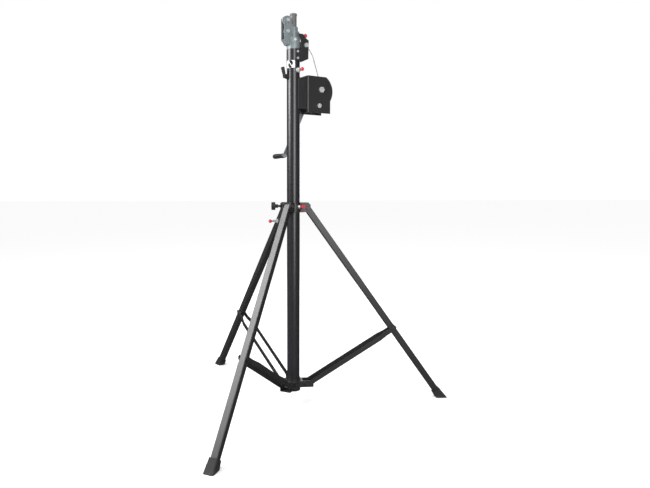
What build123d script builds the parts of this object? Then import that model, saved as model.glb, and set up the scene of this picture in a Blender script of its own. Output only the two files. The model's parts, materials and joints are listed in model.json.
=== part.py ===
"""Wind-up lighting stand: a three-stage telescopic mast, a geared hand winch and a folding tripod.

Frame: the mast axis is Z, the floor is Z = 0 and leg 1 points along +X. Units are millimetres and
degrees. A place beside the mast is given as (out, up) on an upright plane at some azimuth, where out
is the distance from the mast axis. The winch frame uses azimuth WINCH_AZ, and the side of its plane
that the extrusions grow towards is called near.
"""
from build123d import *
from math import acos, atan2, cos, degrees, hypot, pi, radians, sin, sqrt, tan
import os

# Driving dimensions ------------------------------------------------------------------------------
MAST_R = 30.0                  # outer tube, outside radius
WALL = 2.0                     # wall of all round and square tubes
MAST_FOOT, MAST_TOP = 72.0, 1654.0
MID_R, MID_FOOT, MID_TOP = 24.0, 150.0, 1704.0
INNER_R, INNER_FOOT, INNER_TOP = 15.0, 330.0, 1804.0
STAND_TOP = 1812.0             # top of the socket on the inner tube
LEG_AZIMUTHS = (0, 120, 240)
LEG_SIZE = 30.0                # square leg tube
PIVOT_R, PIVOT_Z = 64.0, 938.0  # leg hinge on the sliding collar
FOOT_R = 734.0                 # where the line of each leg meets the floor
BRACE_AT = 720.0               # brace joint, measured down the leg from its hinge
BRACE_FOOT_Z = 94.0            # brace hinge on the fixed collar, at PIVOT_R from the mast axis
WINCH_AZ = 24.0
PIN_AZ = -51.0                 # azimuth of the pull pins on the mast and on the leg collar
CLAMP_AZ = 180.0               # azimuth of the collar's clamp screw
DRUM = (127.0, 1482.0)         # drum axle in the winch plane
GEAR_MODULE, DRUM_TEETH, PINION_TEETH = 2.0, 53, 21
PINION_OUT = 115.0             # crank shaft, distance from the mast axis
CRANK_LENGTH, CRANK_LEAN = 248.0, 25.3
ROPE_R = 1.5
PULLEY = (47.5, 1674.0)        # head pulley of the hoisting rope
PULLEY_GROOVE = 21.3           # radius of the rope's centre line on that pulley
ROPE_CORNER = (102.0, 1645.0)   # where the slack rope between pulley and drum bends most
ROPE_BEND = 110.0
HIGH_SHEAVE, HIGH_GROOVE = (-36.8, 1778.0), 17.8
LOW_SHEAVE, LOW_GROOVE = (-36.8, 1730.0), 10.6
WOUND_R = 26.9                 # outside of the turns on the drum
FIT = 0.06                     # running clearance on a radius
BRACE_BAR = 3.0                # thickness of one flat bar of a brace
BRACE_HALF_HEIGHT = 11.0
LUG_HALF = 26.0                # half width of a lug on the fixed collar
BRACE_GAP = 0.5                # side clearance between a lug or leg and a brace bar

# Worked-out dimensions ---------------------------------------------------------------------------
LEG_RUN = FOOT_R - PIVOT_R
LEG_LENGTH = hypot(LEG_RUN, PIVOT_Z)
LEG_LEAN = degrees(atan2(LEG_RUN, PIVOT_Z))
JOINT = (PIVOT_R + BRACE_AT * sin(radians(LEG_LEAN)), PIVOT_Z - BRACE_AT * cos(radians(LEG_LEAN)))
BRACE_LENGTH = hypot(JOINT[0] - PIVOT_R, JOINT[1] - BRACE_FOOT_Z)
BRACE_RISE = degrees(atan2(JOINT[1] - BRACE_FOOT_Z, JOINT[0] - PIVOT_R))
GEAR_CENTRES = GEAR_MODULE * (DRUM_TEETH + PINION_TEETH) / 2 + 0.1
PINION = (PINION_OUT, DRUM[1] - sqrt(GEAR_CENTRES**2 - (DRUM[0] - PINION_OUT) ** 2))
PAWL_PIVOT = (PINION[0] + 41.5, PINION[1] + 14.0)  # the pawl's tip then just clears the teeth
GRIP = (
    PINION[0] - CRANK_LENGTH * sin(radians(CRANK_LEAN)),
    PINION[1] - CRANK_LENGTH * cos(radians(CRANK_LEAN)),
)
INNER_ROPE_OUT = MAST_R - WALL - ROPE_R - 0.3   # the rope in the gap between outer and middle tube

os.makedirs("parts", exist_ok=True)


# Planes and small helpers ------------------------------------------------------------------------
def heading(azimuth):
    """Unit vector away from the mast axis at this azimuth."""
    return Vector(cos(radians(azimuth)), sin(radians(azimuth)), 0)


def near(azimuth):
    """Unit vector square to the upright plane at this azimuth, towards its near side."""
    return Vector(sin(radians(azimuth)), -cos(radians(azimuth)), 0)


def upright(azimuth, side=0.0):
    """Upright plane through the mast axis, moved by side towards near; its x is out, its y is up."""
    return Plane(origin=near(azimuth) * side, x_dir=heading(azimuth), z_dir=near(azimuth))


def facing(azimuth, out, up):
    """Plane square to heading at distance out and height up; an extrusion grows away from the mast."""
    origin = heading(azimuth) * out + Vector(0, 0, up)
    return Plane(origin=origin, x_dir=-near(azimuth), z_dir=heading(azimuth))


def turning(azimuth, centre):
    """Plane for the section of a wheel on an axle square to the upright plane: x is the radius."""
    origin = heading(azimuth) * centre[0] + Vector(0, 0, centre[1])
    return Plane(origin=origin, x_dir=heading(azimuth), z_dir=(0, 0, -1))


def tilted(azimuth, start, rise, side=0.0):
    """Upright plane whose x runs from start at the angle rise above level."""
    along = heading(azimuth) * cos(radians(rise)) + Vector(0, 0, sin(radians(rise)))
    origin = heading(azimuth) * start[0] + Vector(0, 0, start[1]) + near(azimuth) * side
    return Plane(origin=origin, x_dir=along, z_dir=near(azimuth))


def write(part, name):
    """Label a finished piece and write its STEP file."""
    part.label = name
    export_step(part, f"parts/{name}.step")


def outline(*points):
    """Add a closed outline of straight runs to the open sketch."""
    Polygon(*points, align=None)


def ring(low, high, outer, inner):
    """Round ring about the mast axis between two heights."""
    with BuildPart() as piece:
        with BuildSketch(Plane.XY.offset(low)):
            Circle(outer)
            Circle(inner, mode=Mode.SUBTRACT)
        extrude(amount=high - low)
    return piece.part


def wheel(centre, profile, azimuth=WINCH_AZ):
    """Turned piece on an axle square to the upright plane; profile is (radius, side) points."""
    plane = turning(azimuth, centre)
    with BuildPart() as piece:
        with BuildSketch(plane):
            outline(*profile)
        revolve(axis=Axis(plane.origin, near(azimuth)))
    return piece.part


def sheave(centre, groove, half_width, bore):
    """Grooved wheel whose rope runs with its centre line at the radius groove."""
    rim, floor = groove + 1.4, groove - ROPE_R - 0.1
    lip, root = half_width - 1.2, 1.7
    return wheel(centre, [
        (bore, -half_width), (rim, -half_width), (rim, -lip), (floor, -root),
        (floor, root), (rim, lip), (rim, half_width), (bore, half_width),
    ])


def bolt_across(azimuth, centre, radius, half_length, head_height):
    """Through bolt square to the upright plane, with a hexagon head and a hexagon nut outside."""
    with BuildPart() as bolt:
        with BuildSketch(tilted(azimuth, centre, 0, -half_length - head_height)):
            Circle(radius)
        extrude(amount=2 * (half_length + head_height))
        for side in (-half_length - head_height, half_length):
            with BuildSketch(tilted(azimuth, centre, 0, side)):
                RegularPolygon(radius * 1.75, 6)
            extrude(amount=head_height)
    return bolt.part


def drill(azimuth, centre, radius, reach):
    """Subtract a round hole square to the upright plane from the open part."""
    with Locations(tilted(azimuth, centre, 0)):
        Cylinder(radius, 2 * reach, mode=Mode.SUBTRACT)


# Mast: the three tubes and what guides them ------------------------------------------------------
with BuildPart() as mast_tube:
    with BuildSketch(Plane.XY.offset(MAST_FOOT)):
        Circle(MAST_R)
        Circle(MAST_R - WALL, mode=Mode.SUBTRACT)
    extrude(amount=MAST_TOP - MAST_FOOT)
write(mast_tube.part, "mast_tube")

PLUG_RIM = 6.0
with BuildPart() as mast_end_plug:
    with BuildSketch(Plane.XY.offset(MAST_FOOT - PLUG_RIM)):
        Circle(MAST_R)
    extrude(amount=PLUG_RIM)
    fillet(mast_end_plug.faces().sort_by(Axis.Z)[0].edges(), 3)
    with BuildSketch(Plane.XY.offset(MAST_FOOT)):
        Circle(MAST_R - WALL)
        Circle(MAST_R - WALL - 4, mode=Mode.SUBTRACT)
    extrude(amount=22)
write(mast_end_plug.part, "mast_end_plug")

SLEEVE_FOOT = 1604.5
write(ring(SLEEVE_FOOT, MAST_TOP, MAST_R + 1, MAST_R), "top_sleeve")


def notched_ring(low, high, outer, inner, notches):
    """Ring about the mast axis with rope notches, each (distance in the winch plane, half width)."""
    with BuildPart() as piece:
        with BuildSketch(Plane.XY.offset(low)):
            Circle(outer)
            Circle(inner, mode=Mode.SUBTRACT)
        extrude(amount=high - low)
        for out, half in notches:
            with BuildSketch(upright(WINCH_AZ, -half)):
                with Locations((out, (low + high) / 2)):
                    Rectangle(5.2, high - low + 2)
            extrude(amount=2 * half, mode=Mode.SUBTRACT)
    return piece.part


ROPE_NOTCH = 2.4
BOTH_SIDES = [(INNER_ROPE_OUT, ROPE_NOTCH), (-INNER_ROPE_OUT, ROPE_NOTCH)]
write(notched_ring(1622, MAST_TOP, MAST_R - WALL, MID_R + 0.3, BOTH_SIDES), "mast_guide_bush")
write(ring(MID_FOOT, MID_TOP, MID_R, MID_R - WALL), "mid_tube")
write(notched_ring(MID_FOOT, MID_FOOT + 40, MAST_R - WALL - 0.4, MID_R, BOTH_SIDES), "mid_foot_bush")
INNER_RUN_OUT = -(HIGH_SHEAVE[0] + HIGH_GROOVE)   # the lifting rope inside the middle tube
write(ring(INNER_FOOT, INNER_TOP, INNER_R, INNER_R - WALL), "inner_tube")
write(
    notched_ring(INNER_FOOT, INNER_FOOT + 35, MID_R - WALL - 0.4, INNER_R, [(-INNER_RUN_OUT, ROPE_NOTCH)]),
    "inner_foot_bush",
)

SOCKET_BORE, SOCKET_DEPTH = 8.05, 60.0   # receiver for a 16 mm (5/8 inch) stud
with BuildPart() as top_socket:
    with BuildSketch(Plane.XY.offset(INNER_TOP)):
        Circle(INNER_R + 1.5)
    extrude(amount=STAND_TOP - INNER_TOP)
    fillet(top_socket.faces().sort_by(Axis.Z)[-1].edges(), 2)
    with BuildSketch(Plane.XY.offset(INNER_TOP - SOCKET_DEPTH)):
        Circle(INNER_R - WALL)
    extrude(amount=SOCKET_DEPTH)
    with BuildSketch(Plane.XY.offset(STAND_TOP - SOCKET_DEPTH)):
        Circle(SOCKET_BORE)
    extrude(amount=SOCKET_DEPTH, mode=Mode.SUBTRACT)
write(top_socket.part, "top_socket")

# Head of the middle stage: a plated weldment of shroud, neck and two sheave cheeks ----------------
SHROUD_R, SHROUD_FOOT = 30.5, MAST_TOP + 0.5
NECK_R, NECK_TOP = 21.0, 1752.0
CHEEK_IN, CHEEK_OUT = 13.0, 15.5
HEAD_PIN_Z = 1724.0
with BuildPart() as stage_head:
    with BuildSketch(Plane.XY.offset(SHROUD_FOOT)):
        Circle(SHROUD_R)
        Circle(MID_R, mode=Mode.SUBTRACT)
    extrude(amount=MID_TOP - SHROUD_FOOT)
    with BuildSketch(Plane.XY.offset(MID_TOP)):
        Circle(SHROUD_R)
    extrude(amount=4)
    fillet(stage_head.faces().sort_by(Axis.Z)[-1].edges(), 2)
    with BuildSketch(Plane.XY.offset(MID_TOP)):
        Circle(NECK_R)
    extrude(amount=NECK_TOP - MID_TOP)
    for side in (-CHEEK_OUT, CHEEK_IN):
        with BuildSketch(upright(WINCH_AZ, side)):
            outline((-55, 1693), (-38, 1671), (-26, 1671), (-26, MID_TOP + 3), (-16, MID_TOP + 3),
                    (-16, 1762), (-19, 1779), (-55, 1779))
            with Locations(HIGH_SHEAVE):
                Circle(18.2)
        extrude(amount=CHEEK_OUT - CHEEK_IN)
    with BuildSketch(upright(WINCH_AZ, -CHEEK_IN)):
        outline((-55, 1693), (-38, 1671), (-35.5, 1673), (-52.5, 1695))
    extrude(amount=2 * CHEEK_IN)
    with BuildSketch(facing(WINCH_AZ, 16, HEAD_PIN_Z)):
        Rectangle(20, 24)
    extrude(amount=9)
    with BuildSketch(Plane.XY.offset(MID_TOP - 1)):
        Circle(INNER_R + 0.4)
    extrude(amount=200, mode=Mode.SUBTRACT)
    with BuildSketch(facing(WINCH_AZ, 10, HEAD_PIN_Z)):
        Circle(3.6)
    extrude(amount=20, mode=Mode.SUBTRACT)
    with BuildSketch(upright(WINCH_AZ, -9)):
        outline((22.5, 1650), (40, 1650), (40, 1704), (22.5, 1704))
    extrude(amount=18, mode=Mode.SUBTRACT)
    with BuildSketch(upright(WINCH_AZ, -ROPE_NOTCH)):
        outline((-29, 1650), (-24, 1650), (-24, 1712), (-29, 1712))
        outline((-22, 1680), (-16, 1680), (-16, 1760), (-22, 1760))
    extrude(amount=2 * ROPE_NOTCH, mode=Mode.SUBTRACT)
    for centre in (HIGH_SHEAVE, LOW_SHEAVE):
        drill(WINCH_AZ, centre, 5, 20)
write(stage_head.part, "stage_head")

write(sheave(HIGH_SHEAVE, HIGH_GROOVE, 5, 5 + FIT), "high_sheave")
write(sheave(LOW_SHEAVE, LOW_GROOVE, 5, 5 + FIT), "low_sheave")
sheave_bolts = [bolt_across(WINCH_AZ, c, 5, CHEEK_OUT, 5) for c in (HIGH_SHEAVE, LOW_SHEAVE)]
write(Compound(children=sheave_bolts), "sheave_bolts")

# Head pulley of the hoisting rope, between two cheeks bolted across the mast ----------------------
PULLEY_CHEEK_IN, PULLEY_CHEEK_OUT = 31.0, 34.0
RIVETS = [(3.5, 1642.0), (3.5, 1613.0)]
SPACER = (47.0, 1622.0)


def pulley_cheek(side):
    """One cheek plate whose inner or outer face lies at side."""
    with BuildPart() as cheek:
        with BuildSketch(upright(WINCH_AZ, side)):
            with BuildLine():
                Polyline((21, 1656), (-8, 1654), (-8, 1603), (21.7, 1597), (59.4, 1614), (61, 1696),
                         (38.4, 1709), (32.6, 1721), (10, 1721), (10, 1713))
                ThreePointArc((10, 1713), (19, 1692), (21, 1656))
            make_face()
            with Locations(*RIVETS):
                Circle(3, mode=Mode.SUBTRACT)
            with Locations(PULLEY):
                Circle(6, mode=Mode.SUBTRACT)
        extrude(amount=PULLEY_CHEEK_OUT - PULLEY_CHEEK_IN)
    return cheek.part


write(Compound(children=[pulley_cheek(s) for s in (-PULLEY_CHEEK_OUT, PULLEY_CHEEK_IN)]), "pulley_cheeks")
write(bolt_across(WINCH_AZ, PULLEY, 6, PULLEY_CHEEK_OUT, 6), "pulley_axle")
write(sheave(PULLEY, PULLEY_GROOVE, 6, 6 + FIT), "head_pulley")

# Winch: folded frame, its mount on the mast, drum, gears, crank and ratchet ------------------------
FRAME_FOOT, FRAME_TOP = 1376.0, 1541.0
FRAME_HALF, SHEET = 40.0, 3.0
WEB_OUT = 52.0                 # back face of the frame's web
MOUNT_BOLTS = [(-14.0, 1410.0), (14.0, 1410.0), (-14.0, 1510.0), (14.0, 1510.0)]

with BuildPart() as winch_frame:
    with BuildSketch(upright(WINCH_AZ, -FRAME_HALF)):
        with BuildLine():
            Polyline((153, FRAME_TOP), (WEB_OUT, FRAME_TOP), (WEB_OUT, FRAME_FOOT), (176, FRAME_FOOT),
                     (176, 1434))
            ThreePointArc((176, 1434), (188, 1484), (153, FRAME_TOP))
        make_face()
    extrude(amount=2 * FRAME_HALF)
    corners = winch_frame.edges().filter_by(Axis.Z)
    fillet(corners.filter_by(lambda edge: edge.center().dot(heading(WINCH_AZ)) < WEB_OUT + 1), 7)
    with BuildSketch(upright(WINCH_AZ, SHEET - FRAME_HALF)):
        outline((WEB_OUT + SHEET, FRAME_FOOT - 5), (200, FRAME_FOOT - 5), (200, FRAME_TOP + 5),
                (WEB_OUT + SHEET, FRAME_TOP + 5))
    extrude(amount=2 * (FRAME_HALF - SHEET), mode=Mode.SUBTRACT)
    drill(WINCH_AZ, DRUM, 8, 50)
    drill(WINCH_AZ, PINION, 8 + FIT, 50)
    with Locations(tilted(WINCH_AZ, PAWL_PIVOT, 0, -FRAME_HALF)):
        Cylinder(4, 3 * SHEET, mode=Mode.SUBTRACT)
    with BuildSketch(facing(WINCH_AZ, WEB_OUT - 5, 0)):
        with Locations(*MOUNT_BOLTS):
            Circle(4)
    extrude(amount=15, mode=Mode.SUBTRACT)
write(winch_frame.part, "winch_frame")

MOUNT_FOOT, MOUNT_TOP = 1390.0, 1530.0
with BuildPart() as winch_mount:
    with BuildSketch(Plane(origin=(0, 0, MOUNT_FOOT), x_dir=heading(WINCH_AZ), z_dir=(0, 0, 1))):
        with Locations((31, 0)):
            Rectangle(42, 56)
        with Locations((28, 0)):
            Rectangle(42, 48, mode=Mode.SUBTRACT)
        Circle(MAST_R, mode=Mode.SUBTRACT)
    extrude(amount=MOUNT_TOP - MOUNT_FOOT)
    with BuildSketch(facing(WINCH_AZ, WEB_OUT - 12, 0)):
        with Locations(*MOUNT_BOLTS):
            Circle(4)
    extrude(amount=20, mode=Mode.SUBTRACT)
write(winch_mount.part, "winch_mount")


def mount_bolt(side, up):
    """Bolt through the winch web and its mount, with a head inside the winch and a nut behind."""
    with BuildPart() as bolt:
        with BuildSketch(facing(WINCH_AZ, 41, up).offset(0)):
            with Locations((side, 0)):
                RegularPolygon(7.2, 6)
        extrude(amount=8)
        with BuildSketch(facing(WINCH_AZ, 49, up)):
            with Locations((side, 0)):
                Circle(4)
        extrude(amount=6)
        with BuildSketch(facing(WINCH_AZ, 55, up)):
            with Locations((side, 0)):
                RegularPolygon(7.2, 6)
        extrude(amount=5.5)
    return bolt.part


def rivet(centre, side):
    """Domed rivet through one pulley cheek into the mast's top sleeve."""
    start = PULLEY_CHEEK_IN if side > 0 else -PULLEY_CHEEK_OUT
    head = PULLEY_CHEEK_OUT if side > 0 else -PULLEY_CHEEK_OUT - 3
    with BuildPart() as stud:
        with BuildSketch(tilted(WINCH_AZ, centre, 0, start)):
            Circle(3)
        extrude(amount=PULLEY_CHEEK_OUT - PULLEY_CHEEK_IN)
        with BuildSketch(tilted(WINCH_AZ, centre, 0, head)):
            Circle(5.5)
        extrude(amount=3)
    return stud.part


fasteners = [mount_bolt(*spot) for spot in MOUNT_BOLTS] + [rivet(c, s) for c in RIVETS for s in (-1, 1)]
write(Compound(children=fasteners), "mast_fasteners")
write(bolt_across(WINCH_AZ, DRUM, 8, FRAME_HALF, 6), "drum_axle")

DRUM_CORE = 20.0
GEAR_NEAR, GEAR_FAR = -28.5, -35.5
write(wheel(DRUM, [
    (8 + FIT, GEAR_NEAR), (46, GEAR_NEAR), (46, GEAR_NEAR + 2), (DRUM_CORE, GEAR_NEAR + 2),
    (DRUM_CORE, 26), (46, 26), (46, 28.5), (8 + FIT, 28.5),
]), "rope_drum")

TURN_PITCH = 3.1
TURNS = 16
with BuildPart() as wound_rope:
    with BuildSketch(turning(WINCH_AZ, DRUM)):
        with Locations(((DRUM_CORE + WOUND_R - ROPE_R) / 2, 0)):
            Rectangle(WOUND_R - ROPE_R - DRUM_CORE, (TURNS - 1) * TURN_PITCH)
        with Locations((WOUND_R - ROPE_R, 0)):
            with GridLocations(1, TURN_PITCH, 1, TURNS):
                Circle(ROPE_R)
    revolve(axis=Axis(turning(WINCH_AZ, DRUM).origin, near(WINCH_AZ)))
write(wound_rope.part, "wound_rope")


def gear_points(teeth, phase, backlash=0.25, pressure=20.0, steps=4):
    """Outline of an involute gear with one tooth centred on the angle phase, in degrees."""
    pitch = GEAR_MODULE * teeth / 2
    base = pitch * cos(radians(pressure))
    tip, root = pitch + 0.95 * GEAR_MODULE, pitch - 1.2 * GEAR_MODULE
    start = max(base, root)

    def involute(radius):
        angle = acos(min(1.0, base / radius))
        return tan(angle) - angle

    half_at_pitch = pi / (2 * teeth) - backlash / (2 * pitch)
    flank = []
    for step in range(steps):
        radius = start + (tip - start) * step / (steps - 1)
        flank.append((radius, half_at_pitch + involute(pitch) - involute(radius)))
    points = []
    for tooth in range(teeth):
        middle = radians(phase) + 2 * pi * tooth / teeth
        rising = [(root, -flank[0][1])] + [(radius, -half) for radius, half in flank]
        falling = [(radius, half) for radius, half in reversed(flank)] + [(root, flank[0][1])]
        if root >= base:
            rising, falling = rising[1:], falling[:-1]
        points += [(r * cos(middle + a), r * sin(middle + a)) for r, a in rising + falling]
    return points


def spur_gear(centre, teeth, phase, low, high, bore):
    """Spur gear between two sides of the winch plane."""
    with BuildPart() as gear:
        with BuildSketch(tilted(WINCH_AZ, centre, 0, low)):
            outline(*gear_points(teeth, phase))
            Circle(bore, mode=Mode.SUBTRACT)
        extrude(amount=high - low)
    return gear.part


MESH_ANGLE = degrees(atan2(PINION[1] - DRUM[1], PINION[0] - DRUM[0]))
write(spur_gear(DRUM, DRUM_TEETH, MESH_ANGLE, GEAR_FAR, GEAR_NEAR, 8 + FIT), "drum_gear")

SHAFT_R = 8.0
ARM_FAR, ARM_NEAR = -102.0, -96.0
NUT_END = -110.0
with BuildPart() as crank_shaft:
    with BuildSketch(tilted(WINCH_AZ, PINION, 0, NUT_END)):
        Circle(SHAFT_R)
    extrude(amount=FRAME_HALF + 4 - NUT_END)
    with BuildSketch(tilted(WINCH_AZ, PINION, 0, FRAME_HALF + 0.5)):
        RegularPolygon(11, 6)
    extrude(amount=5)
    with BuildSketch(tilted(WINCH_AZ, PINION, 0, GEAR_FAR)):
        outline(*gear_points(PINION_TEETH, MESH_ANGLE + 180 + 180 / PINION_TEETH))
    extrude(amount=GEAR_NEAR - GEAR_FAR)
write(crank_shaft.part, "crank_shaft")

RATCHET_FAR, RATCHET_NEAR = -48.0, -42.0
RATCHET_TEETH, RATCHET_R, RATCHET_ROOT = 12, 26.0, 20.5
saw = []
for tooth in range(RATCHET_TEETH):
    first = 2 * pi * tooth / RATCHET_TEETH
    last = first + 2 * pi / RATCHET_TEETH
    saw.append((RATCHET_R * cos(first), RATCHET_R * sin(first)))
    saw.append((RATCHET_ROOT * cos(last - 0.03), RATCHET_ROOT * sin(last - 0.03)))
with BuildPart() as ratchet_wheel:
    with BuildSketch(tilted(WINCH_AZ, PINION, 0, RATCHET_FAR)):
        outline(*saw)
    extrude(amount=RATCHET_NEAR - RATCHET_FAR)
    with BuildSketch(tilted(WINCH_AZ, PINION, 0, ARM_NEAR)):
        Circle(15)
    extrude(amount=RATCHET_FAR - ARM_NEAR)
    with BuildSketch(tilted(WINCH_AZ, PINION, 0, -60)):
        Circle(28)
    extrude(amount=8)
    drill(WINCH_AZ, PINION, SHAFT_R, 120)
write(ratchet_wheel.part, "ratchet_wheel")

with BuildPart() as ratchet_pawl:
    with BuildSketch(tilted(WINCH_AZ, PAWL_PIVOT, 0, RATCHET_FAR)):
        outline((-6, 8), (6, 6), (7, -6), (-4, -9), (-12.5, -13), (-14.5, -10), (-10, 0))
        Circle(4 + FIT, mode=Mode.SUBTRACT)
    extrude(amount=RATCHET_NEAR - RATCHET_FAR)
write(ratchet_pawl.part, "ratchet_pawl")

with BuildPart() as pawl_pin:
    with BuildSketch(tilted(WINCH_AZ, PAWL_PIVOT, 0, RATCHET_FAR - 3)):
        Circle(4)
    extrude(amount=RATCHET_NEAR - RATCHET_FAR + 5)
    with BuildSketch(tilted(WINCH_AZ, PAWL_PIVOT, 0, RATCHET_FAR - 3)):
        Circle(6)
    extrude(amount=2.5)
write(pawl_pin.part, "pawl_pin")

with BuildPart() as crank_arm:
    with BuildSketch(tilted(WINCH_AZ, PINION, -90 - CRANK_LEAN, ARM_FAR)):
        with Locations((CRANK_LENGTH / 2, 0)):
            SlotCenterToCenter(CRANK_LENGTH, 20)
        Circle(15)
        Circle(SHAFT_R, mode=Mode.SUBTRACT)
        with Locations((CRANK_LENGTH, 0)):
            Circle(5, mode=Mode.SUBTRACT)
    extrude(amount=ARM_NEAR - ARM_FAR)
write(crank_arm.part, "crank_arm")

GRIP_FAR, GRIP_NEAR = -205.0, -105.0
with BuildPart() as grip_spindle:
    with BuildSketch(tilted(WINCH_AZ, GRIP, 0, GRIP_FAR + 4)):
        Circle(5)
    extrude(amount=ARM_NEAR + 4 - GRIP_FAR - 4)
    with BuildSketch(tilted(WINCH_AZ, GRIP, 0, ARM_FAR - 2.5)):
        Circle(8.5)
    extrude(amount=2.5)
    with BuildSketch(tilted(WINCH_AZ, GRIP, 0, ARM_NEAR)):
        RegularPolygon(8.5, 6)
    extrude(amount=2.5)
write(grip_spindle.part, "grip_spindle")

with BuildPart() as crank_grip:
    with BuildSketch(turning(WINCH_AZ, GRIP)):
        with BuildLine():
            Polyline((11.5, GRIP_FAR + 7), (12, -187), (10.5, -130), (11.5, -112), (9.5, GRIP_NEAR),
                     (0, GRIP_NEAR), (0, GRIP_FAR), (4.5, GRIP_FAR))
            ThreePointArc((4.5, GRIP_FAR), (9.4, GRIP_FAR + 2.1), (11.5, GRIP_FAR + 7))
        make_face()
    revolve(axis=Axis(turning(WINCH_AZ, GRIP).origin, near(WINCH_AZ)))
    with BuildSketch(tilted(WINCH_AZ, GRIP, 0, GRIP_FAR + 3.5)):
        Circle(5 + FIT)
    extrude(amount=120, mode=Mode.SUBTRACT)
write(crank_grip.part, "crank_grip")

# Ropes -------------------------------------------------------------------------------------------
def touch(centre, radius, point, turn):
    """Where a line from point touches the circle; turn is +1 or -1 for the side that it touches."""
    away = Vector(point[0] - centre[0], point[1] - centre[1])
    spread = degrees(acos(radius / away.length)) * turn
    angle = degrees(atan2(away.Y, away.X)) + spread
    return (centre[0] + radius * cos(radians(angle)), centre[1] + radius * sin(radians(angle))), angle


def rope_along(path_builder, start, direction):
    """Round rope swept along a path in the winch plane."""
    with BuildPart() as rope:
        with BuildSketch(Plane(origin=start, z_dir=direction)):
            Circle(ROPE_R)
        sweep(path=path_builder.wire())
    return rope.part


HOIST_END = 192.0
leave, leave_angle = touch(PULLEY, PULLEY_GROOVE, ROPE_CORNER, 1)
land, land_angle = touch(DRUM, WOUND_R + 0.1 + ROPE_R, ROPE_CORNER, -1)
with BuildLine(upright(WINCH_AZ)) as hoist_path:
    Line((INNER_ROPE_OUT, HOIST_END), (INNER_ROPE_OUT, PULLEY[1]))
    CenterArc(PULLEY, PULLEY_GROOVE, 180, leave_angle - 180)
    FilletPolyline(leave, ROPE_CORNER, land, radius=ROPE_BEND)
write(
    rope_along(hoist_path, heading(WINCH_AZ) * INNER_ROPE_OUT + Vector(0, 0, HOIST_END), (0, 0, 1)),
    "hoist_rope",
)

LIFT_LOW, LIFT_INNER_END = 640.0, INNER_FOOT + 12
crossing = degrees(acos((HIGH_GROOVE + LOW_GROOVE) / (HIGH_SHEAVE[1] - LOW_SHEAVE[1])))
cross_angle = 90 - crossing
with BuildLine(upright(WINCH_AZ)) as lift_path:
    Line((-INNER_ROPE_OUT, LIFT_LOW), (LOW_SHEAVE[0] + LOW_GROOVE, LOW_SHEAVE[1]))
    low_arc = CenterArc(LOW_SHEAVE, LOW_GROOVE, 0, cross_angle)
    high_arc = CenterArc(HIGH_SHEAVE, HIGH_GROOVE, 180 + cross_angle, -180 - cross_angle)
    Line(low_arc @ 1, high_arc @ 0)
    Line(high_arc @ 1, (-INNER_RUN_OUT, LIFT_INNER_END))
write(
    rope_along(lift_path, heading(WINCH_AZ) * -INNER_ROPE_OUT + Vector(0, 0, LIFT_LOW), (0, 0, 1)),
    "lift_rope",
)


# Pull pins: a sleeve that stays, a pin and a knob that slide out ----------------------------------
def turned_out(azimuth, up, profile):
    """Turned piece whose axis points away from the mast at this height; profile is (out, radius)."""
    plane = Plane(origin=(0, 0, up), x_dir=heading(azimuth), z_dir=near(azimuth))
    with BuildPart() as piece:
        with BuildSketch(plane):
            outline(*profile)
        revolve(axis=Axis(plane.origin, heading(azimuth)))
    return piece.part


def ball_out(azimuth, up, out, radius, bore):
    """Ball knob with a blind bore, its centre at the distance out."""
    with BuildPart() as knob:
        with Locations(heading(azimuth) * out + Vector(0, 0, up)):
            Sphere(radius)
        with BuildSketch(facing(azimuth, out - radius - 1, up)):
            Circle(bore)
        extrude(amount=radius + 1, mode=Mode.SUBTRACT)
    return knob.part


MAST_PIN_Z, COLLAR_PIN_Z = 1562.0, 944.0
with BuildPart() as mast_pin_sleeve:
    with BuildSketch(facing(PIN_AZ, 24, MAST_PIN_Z)):
        Circle(11)
    extrude(amount=9)
    with BuildSketch(facing(PIN_AZ, 33, MAST_PIN_Z)):
        RegularPolygon(8, 6)
    extrude(amount=11)
    with BuildSketch(Plane.XY.offset(MAST_PIN_Z - 20)):
        Circle(MAST_R)
    extrude(amount=40, mode=Mode.SUBTRACT)
    with BuildSketch(facing(PIN_AZ, 20, MAST_PIN_Z)):
        Circle(3.5 + FIT)
    extrude(amount=40, mode=Mode.SUBTRACT)
write(mast_pin_sleeve.part, "mast_pin_sleeve")
write(turned_out(PIN_AZ, MAST_PIN_Z, [(30.3, 0), (30.3, 3.5), (56, 3.5), (56, 0)]), "mast_pin")
write(ball_out(PIN_AZ, MAST_PIN_Z, 57, 8.5, 3.5), "mast_pin_knob")

SLEEVE_IN = 25.0
write(turned_out(WINCH_AZ, HEAD_PIN_Z, [
    (SLEEVE_IN, 3.5 + FIT), (SLEEVE_IN, 9), (SLEEVE_IN + 4, 9), (SLEEVE_IN + 4, 7), (46, 7), (46, 3.5 + FIT),
]), "head_pin_sleeve")
write(turned_out(WINCH_AZ, HEAD_PIN_Z, [(15.4, 0), (15.4, 3.5), (62, 3.5), (62, 0)]), "head_pin")
write(ball_out(WINCH_AZ, HEAD_PIN_Z, 63.5, 9, 3.5), "head_pin_knob")

COLLAR_R = 36.0
write(turned_out(PIN_AZ, COLLAR_PIN_Z, [
    (COLLAR_R, 3 + FIT), (COLLAR_R, 7.5), (41, 7.5), (48, 5), (48, 3 + FIT),
]), "collar_pin_sleeve")
write(turned_out(PIN_AZ, COLLAR_PIN_Z, [(30.7, 0), (30.7, 3), (58, 3), (58, 0)]), "collar_pin")
write(turned_out(PIN_AZ, COLLAR_PIN_Z, [
    (50, 3), (50, 4.5), (66, 9.5), (69, 9.5), (70, 8.5), (70, 0), (58, 0), (58, 3),
]), "collar_pin_knob")

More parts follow.
